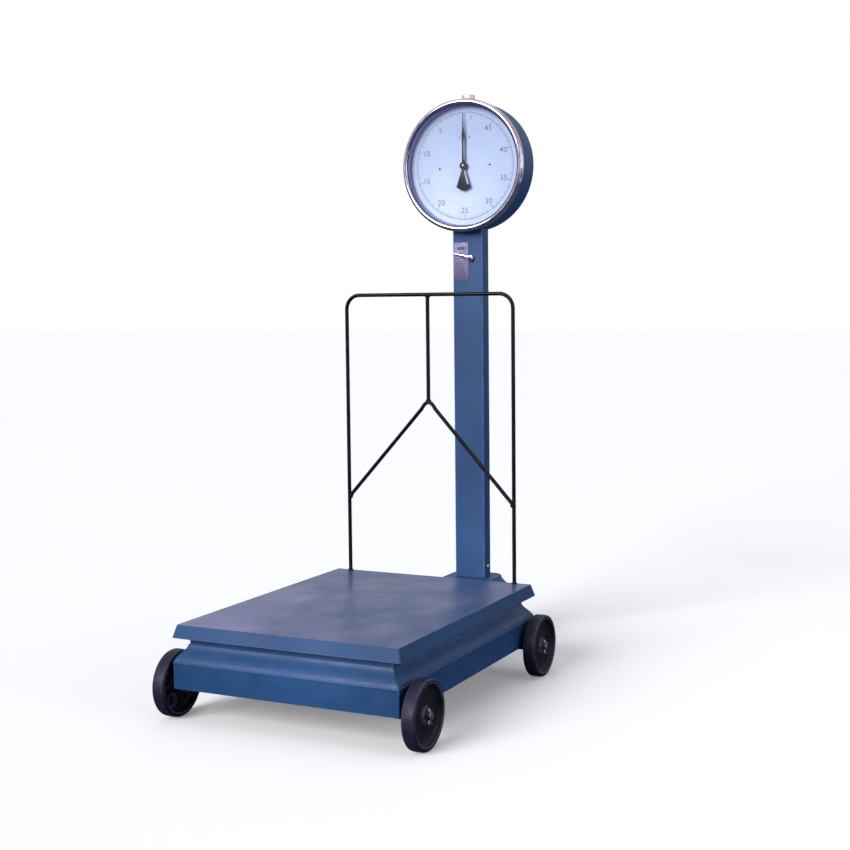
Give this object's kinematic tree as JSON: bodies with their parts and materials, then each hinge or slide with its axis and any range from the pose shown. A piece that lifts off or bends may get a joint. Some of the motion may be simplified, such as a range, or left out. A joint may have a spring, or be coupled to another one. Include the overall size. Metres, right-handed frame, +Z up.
{
  "type": "mechanical dial platform scale",
  "caption": "Lever platform scale with a flat plate on a wheeled cast base, a rod guard, a column and a round dial head with a pointer.",
  "frame": {"origin": "on the floor, under the middle of the whole scale's bounding box", "axes": "+Z up; +Y away from the operator, from the platform towards the column; +X to the operator's right"},
  "size_m": [0.543, 0.9086, 1.2125],
  "materials": {
    "blue_paint": "glossy blue enamel over cast and sheet metal",
    "platform_paint": "worn blue-violet enamel, satin, smudged by use",
    "cast_iron": "as cast, dark oxide",
    "wheel_iron": "black painted cast iron, rubbed grey on the rim",
    "black_paint": "gloss black enamel",
    "steel": "plain machined steel",
    "spring_steel": "oiled spring steel wire",
    "chrome": "bright chrome plate",
    "brass": "turned brass, slightly tarnished",
    "dial_enamel": "pale blue-white enamel dial with black graduations",
    "glass": "clear flat glass",
    "label_metal": "thin printed aluminium plate"
  },
  "bodies": {
    "base": {"base_frame": "blue_paint", "front_axle": "steel", "rear_axle": "steel", "fulcrum_stand_front_left": "cast_iron", "fulcrum_stand_front_right": "cast_iron", "fulcrum_stand_rear_left": "cast_iron", "fulcrum_stand_rear_right": "cast_iron", "column_tube": "blue_paint", "column_screw_left": "steel", "column_screw_right": "steel", "dial_case": "blue_paint", "dial_bezel": "chrome", "dial_glass": "glass", "dial_plate": "dial_enamel", "mechanism_frame": "steel", "rear_cover": "blue_paint", "label_plate": "label_metal", "lock_screw": "steel", "washer_front_left": "steel", "washer_front_right": "steel", "washer_rear_left": "steel", "washer_rear_right": "steel", "split_pin_front_left": "steel", "split_pin_front_right": "steel", "split_pin_rear_left": "steel", "split_pin_rear_right": "steel", "spring_left": "spring_steel", "spring_right": "spring_steel"},
    "platform": {"platform_plate": "platform_paint", "platform_foot_front_left": "cast_iron", "platform_foot_front_right": "cast_iron", "platform_foot_rear_left": "cast_iron", "platform_foot_rear_right": "cast_iron", "guard_hoop": "black_paint", "guard_brace": "black_paint", "guard_rod": "black_paint"},
    "main_lever": {"main_lever": "cast_iron", "main_fulcrum_knife": "steel", "main_load_knife": "steel", "main_nose_knife": "steel", "lever_link": "steel"},
    "short_lever": {"short_lever": "cast_iron", "short_fulcrum_knife_left": "steel", "short_fulcrum_knife_right": "steel", "short_load_knife_left": "steel", "short_load_knife_right": "steel"},
    "draft": {"pull_rod": "steel", "crosshead": "steel", "draft_nut": "steel", "rack": "brass"},
    "pointer": {"pointer_spindle": "steel", "pinion": "brass", "pointer": "black_paint"},
    "zero_knob": {"zero_knob": "brass"},
    "hanger": {"spring_hanger": "steel"},
    "lock_lever": {"lock_lever": "chrome"},
    "wheel_front_left": {"wheel_front_left": "wheel_iron"},
    "wheel_front_right": {"wheel_front_right": "wheel_iron"},
    "wheel_rear_left": {"wheel_rear_left": "wheel_iron"},
    "wheel_rear_right": {"wheel_rear_right": "wheel_iron"}
  },
  "joints": [
    {"name": "draft_slide", "type": "slide", "parent": "base", "child": "draft", "axis": [0, 0, -1], "range_m": [0, 0.0314], "stiffness_N_per_m": 1220, "springref_m": -0.035, "deforming": ["spring_left", "spring_right"]},
    {"name": "platform_slide", "type": "slide", "parent": "base", "child": "platform", "axis": [0, 0, -1], "range_m": [0, 0.00246]},
    {"name": "main_lever_tilt", "type": "hinge", "parent": "base", "child": "main_lever", "pos_m": [0, -0.391, 0.104], "axis": [-1, 0, 0], "range_deg": [0, 2.35]},
    {"name": "short_lever_tilt", "type": "hinge", "parent": "base", "child": "short_lever", "pos_m": [0, 0.133, 0.106], "axis": [1, 0, 0], "range_deg": [0, 2.35]},
    {"name": "pointer_turn", "type": "hinge", "parent": "base", "child": "pointer", "pos_m": [0, 0.378, 1.0576], "axis": [0, -1, 0], "range_deg": [0, 360]},
    {"name": "hanger_slide", "type": "slide", "parent": "base", "child": "hanger", "axis": [0, 0, 1], "range_m": [-0.0015, 0.0015]},
    {"name": "zero_knob_turn", "type": "hinge", "parent": "base", "child": "zero_knob", "pos_m": [0, 0.378, 1.205], "axis": [0, 0, 1], "range_deg": [-360, 360]},
    {"name": "lock_turn", "type": "hinge", "parent": "base", "child": "lock_lever", "pos_m": [0.009, 0.3603, 0.8565], "axis": [0, -1, 0], "range_deg": [0, 75]},
    {"name": "wheel_front_left_roll", "type": "hinge", "parent": "base", "child": "wheel_front_left", "pos_m": [-0.2549, -0.3918, 0.0625], "axis": [1, 0, 0], "continuous": true},
    {"name": "wheel_front_right_roll", "type": "hinge", "parent": "base", "child": "wheel_front_right", "pos_m": [0.2549, -0.3918, 0.0625], "axis": [1, 0, 0], "continuous": true},
    {"name": "wheel_rear_left_roll", "type": "hinge", "parent": "base", "child": "wheel_rear_left", "pos_m": [-0.2549, 0.1448, 0.0625], "axis": [1, 0, 0], "continuous": true},
    {"name": "wheel_rear_right_roll", "type": "hinge", "parent": "base", "child": "wheel_rear_right", "pos_m": [0.2549, 0.1448, 0.0625], "axis": [1, 0, 0], "continuous": true}
  ],
  "couplings": [
    {"joint": "platform_slide", "follows": "draft_slide", "ratio": 0.078023},
    {"joint": "main_lever_tilt", "follows": "draft_slide", "rad_per_m": 1.3004},
    {"joint": "short_lever_tilt", "follows": "draft_slide", "rad_per_m": 1.3004},
    {"joint": "pointer_turn", "follows": "draft_slide", "rad_per_m": 200},
    {"joint": "zero_knob_turn", "follows": "hanger_slide", "rad_per_m": 4188.8}
  ]
}
